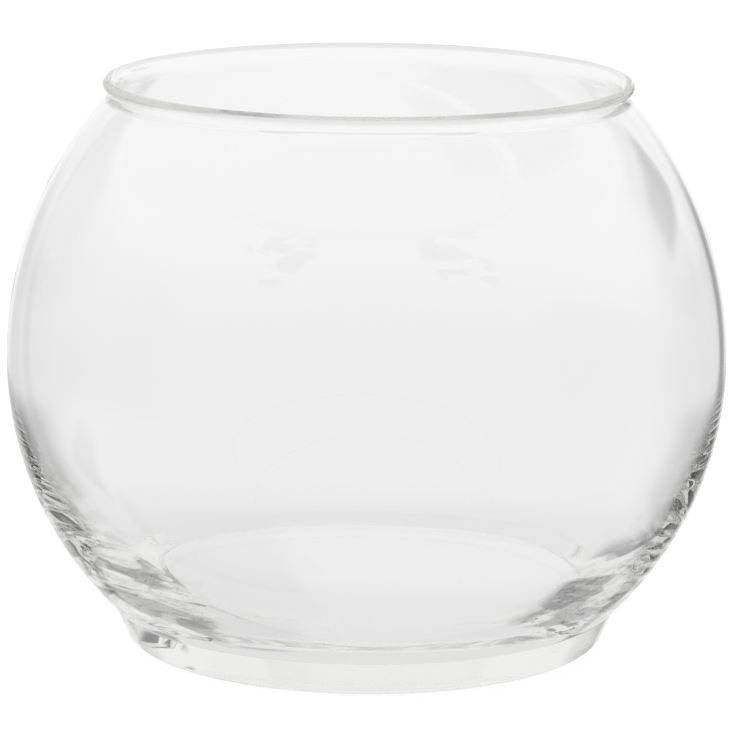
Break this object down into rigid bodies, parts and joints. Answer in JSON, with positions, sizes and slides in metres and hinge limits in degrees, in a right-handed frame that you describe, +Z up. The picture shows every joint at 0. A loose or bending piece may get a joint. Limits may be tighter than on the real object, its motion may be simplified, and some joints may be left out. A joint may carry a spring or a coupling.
{
  "type": "rose bowl vase",
  "caption": "Round clear-glass bowl vase with an open mouth, a fire-polished bead lip, a heavy heel and a short plain foot.",
  "frame": {"origin": "centre of the plane that the foot's ring stands on", "axes": "+Z up the vase's axis, from the foot to the mouth; X and Y are free, because the vase is round"},
  "size_m": [0.165, 0.165, 0.1295],
  "materials": {
    "clear_glass": "clear soda-lime glass, fire polished, with a faint grey-green cast where it is thick"
  },
  "bodies": {
    "root": {"glass_bowl": "clear_glass"}
  },
  "joints": []
}
